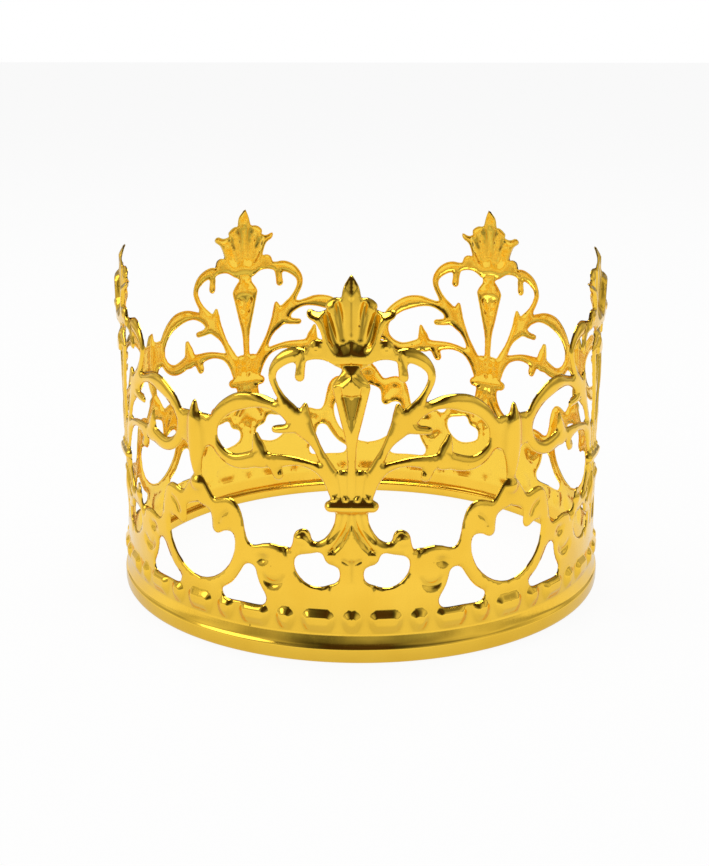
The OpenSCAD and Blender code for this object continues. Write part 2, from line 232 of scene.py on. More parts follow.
def contours(s, z, field):
    """Lines on which the field is zero."""
    inside = field > 0
    points, links = {}, {}

    def place(key):
        """Puts a point where a grid edge crosses zero."""
        if key not in points:
            i, j, axis = key
            i2, j2 = (i + 1, j) if axis == 0 else (i, j + 1)
            t = field[i, j] / (field[i, j] - field[i2, j2])
            points[key] = (s[i] + t * (s[i2] - s[i]), z[j] + t * (z[j2] - z[j]))
        return key

    total = inside[:-1, :-1].astype(int) + inside[1:, :-1] + inside[:-1, 1:] + inside[1:, 1:]
    for i, j in np.argwhere((total > 0) & (total < 4)):
        i, j = int(i), int(j)
        cuts = [place(k) for k, a, b in (
            ((i, j, 0), inside[i, j], inside[i + 1, j]),
            ((i + 1, j, 1), inside[i + 1, j], inside[i + 1, j + 1]),
            ((i, j + 1, 0), inside[i, j + 1], inside[i + 1, j + 1]),
            ((i, j, 1), inside[i, j], inside[i, j + 1])) if a != b]
        for a, b in zip(cuts[::2], cuts[1::2]):
            links.setdefault(a, []).append(b)
            links.setdefault(b, []).append(a)
    lines = []
    left = set(links)
    starts = sorted(k for k in links if len(links[k]) == 1)
    while left:
        key = next((k for k in starts if k in left), None)
        if key is None:
            key = min(left)
        line = [key]
        left.discard(key)
        while True:
            step = next((k for k in links[line[-1]] if k in left), None)
            if step is None:
                break
            line.append(step)
            left.discard(step)
        closed = len(line) > 2 and line[0] in links[line[-1]]
        lines.append((np.array([points[k] for k in line]), closed))
    return lines


def run_along(line):
    """Distance run along a line to each of its points."""
    return np.concatenate([[0], np.cumsum(np.hypot(*np.diff(line, axis=0).T))])


def resample(line, closed, gap):
    """The same line with its points an even distance apart."""
    if closed:
        line = np.vstack([line, line[:1]])
    run = run_along(line)
    count = max(3, int(round(run[-1] / gap)))
    at = np.linspace(0, run[-1], count + 1)
    out = np.stack([np.interp(at, run, line[:, 0]), np.interp(at, run, line[:, 1])], 1)
    return out[:-1] if closed else out


def thin(points, gaps):
    """Drops points that lie closer to an earlier one than their own gap."""
    cell = 1.5
    kept, table = [], {}
    for p, g in zip(points, gaps):
        ci, cj = int(p[0] // cell), int(p[1] // cell)
        near = [q for i in (-1, 0, 1) for j in (-1, 0, 1) for q in table.get((ci + i, cj + j), ())]
        if all((p[0] - q[0]) ** 2 + (p[1] - q[1]) ** 2 >= g * g for q in near):
            kept.append(p)
            table.setdefault((ci, cj), []).append(p)
    return np.array(kept)


def tree_of(points):
    """Search tree over points in the flat."""
    tree = kdtree.KDTree(len(points))
    for i, p in enumerate(points):
        tree.insert((p[0], p[1], 0), i)
    tree.balance()
    return tree


def nearest(tree, points):
    """Distance to the nearest outline point."""
    return np.array([tree.find((p[0], p[1], 0))[2] for p in points])


def field_slope(grid, points, reach):
    """Slope of a field along s and z, measured over a short reach."""
    return np.stack([(inside_at(*grid, points + d) - inside_at(*grid, points - d)) / (2 * reach)
                     for d in ((reach, 0), (0, reach))], 1)


def uphill(grid, points):
    """Direction from the outline into the metal."""
    slope = field_slope(grid, points, .1)
    return slope / np.maximum(np.hypot(*slope.T), 1e-9)[:, None]


def inward(grid, points):
    """Direction in which the metal gets wider, and how clear it is, from 0 on a ribbon's middle line to 1."""
    slope = field_slope(grid, points, .15)
    size = np.hypot(*slope.T)
    return slope / np.maximum(size, 1e-9)[:, None], np.minimum(size, 1)


# grooves of the stamping: rows of s, z, half width, depth
GROOVES = [
    [(10.4, 77.2, .35, .4), (10.8, 75.7, .4, .4), (10.4, 74.5, .3, .3)],
    [(11.4, 76, .5, .4), (12, 74, .5, .5), (12.5, 71.5, .35, .3)],
    [(15.2, 59.3, .4, .4), (16.6, 59, .6, .5), (18.2, 58.1, .4, .4)],
    [(.95, 41.8, .25, .35), (1, 46, .3, .35), (1.1, 51, .25, .2)],
    [(2.6, 41.8, .3, .4), (2.9, 45, .35, .4), (3.5, 48, .3, .3)],
    [(17.2, 48, .6, .6), (17.5, 47, .4, .4)],
    [(7.4, 50.3, .45, .5), (7.9, 50.2, .45, .5)],
    [(4.5, 28.6, .6, .55), (5, 28.4, .5, .5)],
    [(0, 25.6, 1, .45), (0, 23.4, 1, .6), (0, 20.7, .6, .3)],
    [(.3, 25.3, .8, .3), (2, 26.2, .7, .4)],
    [(21, 25.4, 1.2, .5), (22, 25.1, 1.5, .9), (23, 24.8, 1.2, .5)],
    [(16.9, 20.8, .8, .35), (17.8, 19.5, 1.1, .7), (19.6, 18.9, 1.3, .9), (21, 19.5, 1.2, .75), (21.8, 20.7, .8, .35)],
    [(16.2, 28.4, 1.2, .7), (15.9, 26.7, .9, .5)],
    [(5.3, 19.4, .9, .35), (5.3, 18.6, .7, .2)],
    [(13, 32, .6, .35), (11.8, 32.5, .9, .6), (10.9, 31.9, .8, .6), (10.4, 30.9, .5, .35)],
    [(31.4, 35.6, .5, .3), (33.2, 34.3, .7, .4), (34.2, 32.2, .5, .3)],
]
# round channels of the bell: rows of s, z, half width, depth
CHANNELS = [
    [(.5, 37.4, .6, .4), (.95, 34.8, 1, .7), (2.1, 32.2, 1.3, .85), (3.3, 30.1, 1.35, .85), (4.4, 28.8, 1.1, .6)],
    [(2.2, 37.6, .6, .4), (2.6, 35.4, .8, .55), (3.7, 33, .85, .55), (5.3, 31, .7, .3)],
]
# flutes of the cup: rows of s, z, half width, depth
FLUTES = [
    [(0, 80.4, .3, .1), (0, 84, .4, .35), (0, 88.6, .4, .6)],
    [(2, 79.6, .7, .2), (2.35, 82.5, .85, .5), (2.75, 85.2, .9, .8), (3.1, 87.4, .7, 1)],
    [(3.6, 78.5, .7, .2), (4.3, 80.6, .85, .5), (5, 82.8, .9, .8), (5.55, 84.9, .65, 1)],
]
# bevelled edges: rows of s, z, width, drop along the outline
BEVELS = [
    [(6.2, 86, 1.2, .75), (8, 85.7, 1.5, .95), (10.2, 86.3, 1.5, .95)],
    [(3.2, 89, 1.2, .75), (5, 88.4, 1.5, .95), (6.3, 87.1, 1.2, .75)],
    [(10.8, 77.1, 1, .5), (13, 77.5, 1.7, .75), (16, 76.4, 1.5, .55), (18.4, 74.4, 1.1, .3), (19.8, 71, .7, .2)],
    [(2.6, 48.5, 1, .2), (3.8, 49.6, 1.2, .25), (5.4, 52, .9, .15)],
    [(18.6, 64.8, 1.1, .9), (21, 65.4, 1.4, 1), (23.5, 65.9, 1.6, .35), (27.6, 65.6, 1.6, .12), (31.3, 63.7, 1.5, .08),
     (34.6, 60.8, 1.4, .08), (36.2, 58.9, 1, .08)],
    [(24, 51.7, 1.2, .1), (26.5, 50.8, 1.5, .14), (29.5, 50.3, 1.5, .14), (32, 51.1, 1.3, .12), (33.6, 52.6, 1, .1)],
    [(20.2, 51.7, 1, .2), (21.3, 53.1, 1.5, .35), (22.8, 55.9, 1.3, .4)],
    [(3.9, 38, .9, .4), (4, 35.6, 1, .5), (5.4, 32.7, 1.2, .55), (7.5, 30.8, 1.2, .5), (9.4, 30.6, 1, .4)],
    [(9.8, 31, .8, .3), (10.2, 32.8, 1, .4), (11.6, 33.6, 1.1, .4), (13, 33.3, .9, .2)],
    [(15.4, 28.2, .9, .5), (18.4, 28.9, 1, .3), (20.6, 29.1, .9, .2), (23.7, 28.2, .6, .1)],
    [(27.2, 33.5, .8, .2), (28.3, 37, 1, .2), (30.5, 39, 1.1, .25), (33.2, 38.8, 1.1, .25), (35.4, 38.2, 1, .2),
     (37.7, 41, 1, .2), (39.4, 43, .9, .2)],
]
# flat facets: corners of s, z, height
FACETS = [
    [(0, 94.4, -1.5), (1.6, 91.9, -.2), (0, 89.2, 0)],
    [(0, 73.8, -1), (2.1, 73.6, -.9), (0, 71, .55)],
    [(2.1, 73.6, -.9), (2.5, 71.6, -.4), (0, 71, .55)],
    [(0, 71, .55), (0, 70.5, .7), (2.3, 68.3, .7)],
    [(0, 71, .1), (2.3, 68.3, .7), (4.4, 68.7, -.4)],
    [(0, 70.5, .7), (0, 66.3, .7), (2, 66.5, .7)],
    [(0, 70.5, .7), (2, 66.5, .7), (2.3, 68.3, .7)],
    [(0, 66.3, -1.1), (2.2, 66.5, -1.7), (0, 57.3, 0)],
]
# outlines of the cup: its bowl, and the petals that sink behind the bowl
BOWL = [(-3, 75.9), (0, 76.1), (2, 75.8), (3.4, 76.1), (4.5, 77.3), (5.1, 79), (5.7, 81.4), (6.3, 83.4), (7.2, 84.5),
        (8.4, 84.6), (9.8, 84.8), (10.5, 85.2), (12, 90), (12, 99), (-3, 99)]
PETALS = [(-3, 79), (0, 79), (.8, 78.7), (1.3, 78.2), (2, 77.9), (2.6, 77.6), (3.4, 77.8), (4.2, 78.4), (4.8, 79.4),
          (5.3, 81), (5.8, 83), (6.2, 84.6), (6.2, 85.6), (5.4, 86.2), (5, 99), (-3, 99)]
# the leaf that lies between the bell's channels: rows of s, z, half width, height
BELL_LEAF = [(0, 34, .6, .2), (0, 30.4, 1.9, .45), (0, 27.4, 2.4, .3)]
# round bosses under the spindle, on the curls and on the collar: s, z, radius, height
BOSSES = [(HALF, 41.2, 2.1, .9), (12.2, 31.2, 1.9, .35), (1.35, 41.4, .75, .6), (4.05, 41.4, .75, .6)]
# ball beside the cup, and the dimple on it: s, z, radius, height or depth
BALL = (7.9, 77.5, 1.75, .95)
DIMPLE = (7.9, 77.4, .55, .4)
# powers that round the floor and the shoulders of each kind of line
PROFILES = [(GROOVES, 1, 1), (FLUTES, 2, 1), (CHANNELS, 2, 2), (BEVELS, 1, 1)]
# places across each kind of line at which the mesh follows it, as shares of the half width
CREASE_ROWS = [(FLUTES + CHANNELS, (0, .55, -.55, 1, -1)), (GROOVES, (0, .6, -.6, 1, -1)), (BEVELS, (.5, -.5, 1, -1))]
# beads and reels in turn, each with a steep upper slope and a drawn-out lower one
BEADS = 5
BEAD_LEVEL = 11
BEAD_OUT = 1.05
BEAD_FOOT = 2.3
BEAD_SLOPE = 1.5
BEAD_SAG = 0.65
BEAD_HALF = 0.2
REEL_HALF = 1.9
# spindle between two peaks
SPINDLE_LEVEL = 52.6
SPINDLE_RISE = 9.6
SPINDLE_HALF = 2.5
SPINDLE_FULL = 2
SPINDLE_TAPER = 0.6
SPINDLE_OUT = 1.2
# collar bar
COLLAR_LEVEL = 39.5
COLLAR_HALF = 5
COLLAR_FOOT = 1.75
COLLAR_SLOPE = 1.25
COLLAR_OUT = 1.05
# cup: bowl that stands out, petals that sink in and flare, and how it fades out at its foot and sides
CUP_FOOT = 73.7
CUP_RAMP = 0.3
CUP_SIDE = 11.5
CUP_FADE = 1.5
CUP_OUT = 0.5
PETAL_FLOOR = -0.85
PETAL_FLARE = 0.12
PETAL_FOOT = 78.5
PETAL_RISE = 8.5
# facets above this level add to the cup, and lower ones replace what is there
LEAF_FOOT = 90


def boss(gap, radius, height):
    """Height of a round boss at a distance from its middle."""
    t = np.clip((radius - gap) / radius, 0, 1)
    return height * t * (2 - t)


def stroke(s, z, rows):
    """Least distance to a line as a share of its width there, and its last value at that place."""
    share, value = np.full(s.shape, 9.0), np.zeros(s.shape)
    line = smooth(rows, 4)
    for a, b in zip(line[:-1], line[1:]):
        t, gap = along(s, z, a, b)
        q = gap / (a[2] + (b[2] - a[2]) * t)
        near = q < share
        share = np.where(near, q, share)
        value = np.where(near, a[3] + (b[3] - a[3]) * t, value)
    return share, value


def cup(s, z):
    """Bowl, ledge and flaring petals of the cup at the head of a peak."""
    bowl = patch_field(s, z, BOWL)
    petal = patch_field(s, z, PETALS)
    leaf = PETAL_FLOOR + PETAL_FLARE * np.clip((z - PETAL_FOOT) / PETAL_RISE, 0, 1)
    part = np.clip(bowl / np.maximum(bowl - petal, 1e-6), 0, 1)
    ledge = CUP_OUT + (PETAL_FLOOR - CUP_OUT) * part
    body = np.where(petal > 0, leaf, np.where(bowl > 0, ledge, CUP_OUT))
    return body * np.clip((z - CUP_FOOT) / CUP_RAMP, 0, 1) * np.clip((CUP_SIDE - s) / CUP_FADE, 0, 1)


def relief(s, z):
    """How far the stamped relief stands out of the wall."""
    out = np.zeros(s.shape)
    rise = z - BEAD_LEVEL
    rise = np.where(rise > 0, rise, BEAD_SAG * rise)
    pitch = HALF / BEADS
    for k in range(BEADS + 1):
        half = REEL_HALF if k % 2 else BEAD_HALF
        gap = np.hypot(np.maximum(np.abs(s - k * pitch) - half, 0), rise)
        out = np.maximum(out, BEAD_OUT * np.clip((BEAD_FOOT - gap) / BEAD_SLOPE, 0, 1))
    width = SPINDLE_HALF * np.maximum(0, 1 - ((z - SPINDLE_LEVEL) / SPINDLE_RISE) ** 2) ** SPINDLE_TAPER + 1e-6
    out = np.maximum(out, SPINDLE_OUT * np.minimum(1, width / SPINDLE_FULL)
                     * np.maximum(0, 1 - ((HALF - s) / width) ** 2))
    for at, level, radius, height in BOSSES:
        out = np.maximum(out, boss(np.hypot(s - at, z - level), radius, height))
    gap = along(s, z, (-COLLAR_HALF, COLLAR_LEVEL), (COLLAR_HALF, COLLAR_LEVEL))[1]
    out = np.maximum(out, COLLAR_OUT * np.clip((COLLAR_FOOT - gap) / COLLAR_SLOPE, 0, 1))
    q, height = stroke(s, z, BELL_LEAF)
    out = np.maximum(out, height * np.maximum(0, 1 - q ** 2))
    out = np.where(z > CUP_FOOT, cup(s, z), out)
    at, level, radius, height = BALL
    ball = boss(np.hypot(s - at, z - level), radius, height)
    out = np.where(ball > 0, np.maximum(out, ball), out)
    at, level, radius, depth = DIMPLE
    out = out - depth * np.clip(1 - np.hypot(s - at, z - level) / radius, 0, 1)
    for (x0, z0, h0), (x1, z1, h1), (x2, z2, h2) in FACETS:
        area = (x1 - x0) * (z2 - z0) - (x2 - x0) * (z1 - z0)
        u = ((s - x0) * (z2 - z0) - (x2 - x0) * (z - z0)) / area
        v = ((x1 - x0) * (z - z0) - (s - x0) * (z1 - z0)) / area
        inside = (u > -.001) & (v > -.001) & (u + v < 1.001)
        plane = h0 + u * (h1 - h0) + v * (h2 - h0)
        out = np.where(inside, plane + (out if z0 > LEAF_FOOT else 0), out)
    for lines, floor, shoulder in PROFILES:
        for rows in lines:
            q, depth = stroke(s, z, rows)
            out = out - depth * np.maximum(0, 1 - q ** floor) ** shoulder
    return out


def edge_fall(gap):
    """Drop of the rounded-over edge at a distance from the outline, and its slope."""
    u = np.clip(1 - gap / EDGE_ROUND, 0, 1)
    lift = np.sqrt(np.maximum(1 - u * u, 1e-9))
    return -EDGE_DROP * (1 - lift), np.minimum(EDGE_DROP / EDGE_ROUND * u / lift, 8)


def relief_grids():
    """The relief as the press leaves it: its face, its softer back, and how deep each place lies in a crease."""
    s = np.arange(2 * GRID_STEPS + 1) * STEP / 2
    z = np.arange(BAND_TOP - 1, TIP + 1, STEP / 2)
    x, y = np.meshgrid(s, z, indexing="ij")
    face = soften(relief(x, y), FACE_SOFT)
    back = soften(np.where(face > 0, BACK_SHARE * face, face), BACK_SOFT)
    crease = np.clip((soften(face, CREASE_SOFT) - face) / CREASE_DEPTH, 0, 1)
    return (s, z, face), (s, z, np.minimum(face, back)), (s, z, crease)


def crown_share(s, z):
    """Share of the soft crown: none on the band and the cup, part on the plate, all of it on the scrolls."""
    on_plate = PLATE_SHARE + (1 - PLATE_SHARE) * np.clip((z - PLATE_FLAT[0]) / PLATE_FLAT[1], 0, 1)
    off_band = np.clip((z - BAND_FLAT[0]) / BAND_FLAT[1], 0, 1)
    off_cup = np.where(s < CUP_WIDTH, np.clip((CUP_FLAT[0] - z) / CUP_FLAT[1], 0, 1), 1)
    return on_plate * off_band * off_cup


def sheet_at(points, gap, away, clear, skin):
    """Height of the sheet's skin and its slope along s and z."""
    fall, slope = edge_fall(gap)
    soft = crown_share(*points.T)
    u = np.clip(1 - gap / CROWN_WIDTH, 0, 1)
    fall = fall - soft * CROWN_DROP * u * u
    slope = slope + soft * clear * 2 * CROWN_DROP * u / CROWN_WIDTH
    step = skin[0][1] - skin[0][0]
    ds, dz = (inside_at(skin[0], skin[1], g, points) for g in np.gradient(skin[2], step))
    return fall + inside_at(*skin, points), np.stack([slope * away[:, 0] + ds, slope * away[:, 1] + dz], 1)


def inside_at(s, z, field, points):
    """Field at any points, from the grid."""
    step = s[1] - s[0]
    u = np.clip(points[:, 0] / step, 0, len(s) - 1.001)
    v = np.clip((points[:, 1] - z[0]) / step, 0, len(z) - 1.001)
    i, j = u.astype(int), v.astype(int)
    fu, fv = u - i, v - j
    return ((field[i, j] * (1 - fu) + field[i + 1, j] * fu) * (1 - fv)
            + (field[i, j + 1] * (1 - fu) + field[i + 1, j + 1] * fu) * fv)


def triangulate(border, edges, inner, grid):
    """Triangles over the metal, from the border's points and links and the points inside it."""
    points = np.vstack([border, inner])
    verts, _, faces, origin, _, _ = delaunay_2d_cdt([Vector(p) for p in points], edges, [], 0, 1e-6)
    if len(verts) != len(points):
        raise RuntimeError("the border crosses itself")
    order = np.array([o[0] for o in origin])
    tri = order[np.array([f[:] for f in faces])]
    middle = points[tri].mean(axis=1)
    tri = tri[inside_at(*grid, middle) > 0]
    a, b, c = points[tri[:, 0]], points[tri[:, 1]], points[tri[:, 2]]
    turn = (b[:, 0] - a[:, 0]) * (c[:, 1] - a[:, 1]) - (b[:, 1] - a[:, 1]) * (c[:, 0] - a[:, 0])
    tri[turn < 0] = tri[turn < 0][:, ::-1]
    return points, tri[np.abs(turn) > 1e-7]


def hexes(gap, low, high):
    """Staggered grid of points in a box."""
    rows = []
    for k, level in enumerate(np.arange(low[1], high[1], gap * .87)):
        row = np.arange(low[0] + (k % 2) * gap / 2, high[0], gap)
        rows.append(np.stack([row, np.full(len(row), level)], 1))
    return np.vstack(rows)


# boxes in which the mesh is finer, the band of beads first
FINE = [((0, 8), (HALF, 13.4)), ((38.2, 39), (HALF, 62)), ((0, 37.8), (6.6, 42.2)), ((9.8, 29), (14.2, 33.6)),
        ((6, 75.6), (9.8, 79.4)), ((0, 56.5), (4.5, 74)), ((0, 74), (10.4, 94.4)), ((0, 25), (3, 35))]


def crease_points():
    """Points along pressed lines, facet edges and the cup's outlines, so that the mesh can bend there."""
    pts = []
    for lines, shares in CREASE_ROWS:
        for rows in lines:
            line = smooth(rows, 12)
            run = run_along(line[:, :2])
            at = np.linspace(0, run[-1], max(2, int(run[-1] / CREASE_GAP)) + 1)
            cols = np.stack([np.interp(at, run, line[:, k]) for k in range(3)], 1)
            go = np.gradient(cols[:, :2], axis=0)
            go /= np.maximum(np.hypot(*go.T), 1e-9)[:, None]
            for share in shares:
                pts.append(cols[:, :2] + share * cols[:, 2:] * np.stack([-go[:, 1], go[:, 0]], 1))
    for facet in FACETS:
        corners = np.array(facet)[:, :2]
        for a, b in zip(corners, np.roll(corners, -1, axis=0)):
            t = np.linspace(0, 1, max(2, int(np.hypot(*(b - a)) / FACET_GAP)) + 1)[:, None]
            pts.append(a + t * (b - a))
    for outline in (BOWL, PETALS):
        line = np.array(outline[1:-3])
        run = run_along(line)
        at = np.arange(0, run[-1], FACET_GAP)
        pts.append(np.stack([np.interp(at, run, line[:, 0]), np.interp(at, run, line[:, 1])], 1))
    return np.vstack(pts)


def half_mesh():
    """Half a peak in the flat: its field, outline, links of its rim and foot, search tree, front and back."""
    grid = half_field()
    lines = contours(*grid)
    border, edges, dense = [], [], []
    ends = {0: [BAND_TOP], 1: [BAND_TOP]}
    for line, closed in lines:
        dense.append(resample(line, closed, DENSE_GAP))
        pts = resample(line, closed, RIM_GAP)
        base = len(border)
        border += [tuple(p) for p in pts]
        edges += [(base + i, base + i + 1) for i in range(len(pts) - 1)]
        if closed:
            edges.append((base + len(pts) - 1, base))
        else:
            for p in (pts[0], pts[-1]):
                ends[0 if p[0] < HALF / 2 else 1].append(p[1])
    rim = list(edges)
    foot = list(range(len(border), len(border) + HEM_COLUMNS))
    border += [(c, BAND_TOP) for c in np.linspace(0, HALF, HEM_COLUMNS)]
    edges += list(zip(foot[:-1], foot[1:]))
    for side, x in ((0, 0.0), (1, HALF)):
        levels = sorted(ends[side])
        for lo, hi in zip(levels[::2], levels[1::2]):
            ids = []
            for level in np.linspace(lo, hi, max(2, int((hi - lo) / END_GAP)) + 1):
                match = [i for i, p in enumerate(border) if abs(p[0] - x) < 1e-6 and abs(p[1] - level) < 1e-6]
                if match:
                    ids.append(match[0])
                else:
                    border.append((x, level))
                    ids.append(len(border) - 1)
            edges += list(zip(ids[:-1], ids[1:]))
    border = np.array(border)
    tree = tree_of(np.vstack(dense))

    def ring_points(offsets, spacings):
        """Points in rows along the outline, with their least gaps and their distances from the outline."""
        pts, gaps, offs = [], [], []
        for off, gap in zip(offsets, spacings):
            for line, closed in lines:
                at = resample(line, closed, gap)
                pts.append(at + off * uphill(grid, at))
                gaps.append(np.full(len(at), min(.62 * gap, max(.8 * off, .1))))
                offs.append(np.full(len(at), off))
        return np.vstack(pts), np.concatenate(gaps), np.concatenate(offs)

    def fill(offsets, spacings, coarse, fine, boxes, creases):
        """Points inside the outline: rows along it, then creases, finer boxes and a coarse grid."""
        pts, gaps, offs = ring_points(offsets, spacings)
        ok = ((nearest(tree, pts) > .9 * offs) & (pts[:, 0] > ROW_CLEAR[0]) & (pts[:, 0] < HALF - ROW_CLEAR[0])
              & (pts[:, 1] > BAND_TOP + ROW_CLEAR[1]))
        clear = offsets[-1] * .6 + .1
        groups = [(creases, CREASE_LEAST, CREASE_OFF)] + [(hexes(fine, *box), fine * .7, clear) for box in boxes]
        groups.append((hexes(coarse, (0, BAND_TOP), (HALF, TIP)), coarse * .75, clear))
        more = np.vstack([group[0] for group in groups])
        least, far = (np.concatenate([np.full(len(group[0]), group[k]) for group in groups]) for k in (1, 2))
        good = ((inside_at(*grid, more) > 0) & (nearest(tree, more) > far) & (more[:, 0] > FILL_CLEAR[0])
                & (more[:, 0] < HALF - FILL_CLEAR[0]) & (more[:, 1] > BAND_TOP + FILL_CLEAR[1]))
        return thin(np.vstack([pts[ok], more[good]]), np.concatenate([gaps[ok], least[good]]))

    front = triangulate(border, edges, fill(offsets=(.1, .3, .6), spacings=(.62, .66, .8), coarse=.95, fine=.42,
                                            boxes=FINE, creases=crease_points()), grid)
    back = triangulate(border, edges, fill(offsets=(.3, .7), spacings=(.8, 1), coarse=1.05, fine=.6,
                                           boxes=FINE[:1], creases=np.empty((0, 2))), grid)
    return grid, border, rim, foot, tree, front, back


def ring_place(s, r, z, turn):
    """Point on the ring, in metres."""
    a = s / RADIUS + turn
    return np.stack([r * np.sin(a), -r * np.cos(a), z], 1) / 1000


def hem_strips(foot, back_shift, first):
    """Triangles and corner normals of the hem, in columns between the feet of the sheet's front and back."""
    rows = len(HEM)
    loop = np.vstack([[RADIUS, BAND_TOP], HEM, [RADIUS - SHEET, BAND_TOP]])
    run = np.gradient(loop, axis=0)
    normal = np.stack([np.zeros(len(loop)), run[:, 0], -run[:, 1]], 1)
    normal /= np.linalg.norm(normal, axis=1)[:, None]
    normal[0] = (0, 0, 1)
    normal[-1] = (0, 0, -1)
    columns = [[foot[k]] + list(range(first + k * rows, first + (k + 1) * rows)) + [foot[k] + back_shift]
               for k in range(len(foot))]
    faces, corners = [], []
    for left, right in zip(columns[:-1], columns[1:]):
        for i in range(rows + 1):
            faces += [(left[i], left[i + 1], right[i + 1]), (left[i], right[i + 1], right[i])]
            corners += [(normal[i], normal[i + 1], normal[i + 1]), (normal[i], normal[i + 1], normal[i])]
    return np.array(faces), np.array(corners)


def half_sheet():
    """Half a peak on its hem: places s, r, z, triangles, corner normals, and each place's crease and side."""
    grid, border, rim, foot, tree, (front, front_tri), (back, back_tri) = half_mesh()
    count, shift, total = len(border), len(front), len(front) + len(back)
    face_skin, back_skin, crease_skin = relief_grids()

    def shaped(points, skin):
        """Height and normal of a skin at points in the flat."""
        height, slope = sheet_at(points, nearest(tree, points), *inward(grid, points), skin)
        size = np.sqrt(1 + (slope ** 2).sum(1))
        return height, np.stack([-slope[:, 0], -slope[:, 1], np.ones(len(points))], 1) / size[:, None]

    f_height, f_normal = shaped(front, face_skin)
    b_height, b_normal = shaped(back, back_skin)
    on_line = np.zeros(count, bool)
    on_line[[i for e in rim for i in e]] = True
    on_side = (border[:, 0] < 1e-6) | (border[:, 0] > HALF - 1e-6)
    into = uphill(grid, border)
    into[on_side, 0] = 0
    into /= np.maximum(np.hypot(*into.T), 1e-9)[:, None]
    rim_normal = np.column_stack([-into * RIM_LEAN[0], np.full(count, RIM_LEAN[1])])[on_line]
    rim_height = np.minimum(f_height[:count], -EDGE_DROP + RIM_LIFT)[on_line]
    for height, normal in ((f_height, f_normal), (b_height, b_normal)):
        height[:count][on_line] = rim_height
        normal[:count][on_line] = rim_normal
        normal[:count, 0][on_side] = 0
        normal /= np.linalg.norm(normal, axis=1)[:, None]
    s = [front[:, 0], back[:, 0] - SHEET * b_normal[:, 0]]
    r = [RADIUS + f_height, RADIUS + b_height - SHEET * b_normal[:, 2]]
    z = [front[:, 1], back[:, 1] - SHEET * b_normal[:, 1]]
    for c in border[foot, 0]:
        s.append(np.full(len(HEM), c))
        r.append([place[0] for place in HEM])
        z.append([place[1] for place in HEM])
    s, r, z = np.concatenate(s), np.concatenate(r), np.concatenate(z)
    s[np.abs(s) < 2e-4] = 0

    links = {(a, b) for tri in front_tri for a, b in zip(tri, np.roll(tri, -1))}
    strip = []
    for a, b in rim:
        if (a, b) not in links:
            a, b = b, a
        strip += [(b, a, a + shift), (b, a + shift, b + shift)]
    hem, hem_normal = hem_strips(foot, shift, total)
    faces = np.vstack([front_tri, back_tri[:, ::-1] + shift, strip, hem])
    normals = np.vstack([f_normal[front_tri], -b_normal[back_tri[:, ::-1]],
                         np.tile(np.array([0, 0, -1.0]), (len(strip), 3, 1)), hem_normal])
    crease, inner = np.zeros(len(s)), np.zeros(len(s))
    crease[:shift] = inside_at(*crease_skin, front)
    inner[shift:total] = 1
    return s, r, z, faces, normals, crease, inner


def make_crown():
    """The crown as one mesh: half a peak on its hem, mirrored and repeated round the ring."""
    s, r, z, faces, normals, crease, inner = half_sheet()
    spots, tris, ns = [], [], []
    for k in range(PANELS):
        for mirror in (1, -1):
            turn = 2 * math.pi * k / PANELS
            tri, n, a = faces + len(spots) * len(s), normals * (mirror, 1, 1), mirror * s[faces] / RADIUS + turn
            spots.append(ring_place(mirror * s, r, z, turn))
            if mirror < 0:
                tri, n, a = tri[:, ::-1], n[:, ::-1], a[:, ::-1]
            tris.append(tri)
            ns.append(np.stack([n[..., 0] * np.cos(a) + n[..., 2] * np.sin(a),
                                n[..., 0] * np.sin(a) - n[..., 2] * np.cos(a), n[..., 1]], -1))
    spots, tris, ns = np.vstack(spots), np.vstack(tris), np.vstack(ns)
    # places that two halves share become one
    _, first, shared = np.unique(np.round(spots * 1e6).astype(np.int64), axis=0, return_index=True,
                                 return_inverse=True)
    tris = shared.reshape(-1)[tris]
    keep = (tris[:, 0] != tris[:, 1]) & (tris[:, 1] != tris[:, 2]) & (tris[:, 0] != tris[:, 2])
    tris, ns = tris[keep], ns[keep]
    mesh = bpy.data.meshes.new("crown_sheet")
    mesh.from_pydata(spots[first].tolist(), [], tris.tolist())
    mesh.polygons.foreach_set("use_smooth", np.ones(len(tris), bool))
    mesh.normals_split_custom_set(ns.reshape(-1, 3).tolist())
    for name, values in (("crease", crease), ("inner", inner)):
        mesh.attributes.new(name, "FLOAT", "POINT").data.foreach_set("value", np.tile(values, 2 * PANELS)[first])
    mesh.validate()
    obj = bpy.data.objects.new("crown_sheet", mesh)
    bpy.context.scene.collection.objects.link(obj)
    return obj


WHITE = (1, 1, 1, 1)
# gold, bright and deep; painted shade in creases; the gold painted brighter inside the ring; and pits
GOLD_BRIGHT = (.96, .6, .062, 1)
GOLD_DEEP = (.91, .55, .05, 1)
# painted shade laid into the creases, and the most of it that any place gets
CREASE_PAINTED_SHADE = (.34, .21, .02, 1)
CREASE_PAINTED_SHADE_SHARE = 0.6
# painted light: a brighter, more orange copy of the gold for the inside of the ring
INNER_PAINTED_LIGHT = (.98, .645, .07, 1)
PIT_TONE = (.42, .24, .03, 1)
# patterns per metre: drifts of tone, pits, the patches that hold pits, polish marks drawn out upward, waves
DRIFT_SCALE = 70
PIT_SCALE = 260
PATCH_SCALE = 420
MARK_SCALE = 1500
MARK_STRETCH = (1, 1, .12)
WAVE_SCALE = 160
# the middle part of a soft random value, which is stretched to the whole range
NOISE_SPAN = (.35, .65)
MARK_SPAN = (.35, .7)
PATCH_SPAN = (.6, .64)
PIT_EDGE = (.05, .09)
# roughness between polish marks and on them, and what the inside and pits add
ROUGH = (.085, .15)
INNER_ROUGH = 0.05
PIT_ROUGH = 0.3
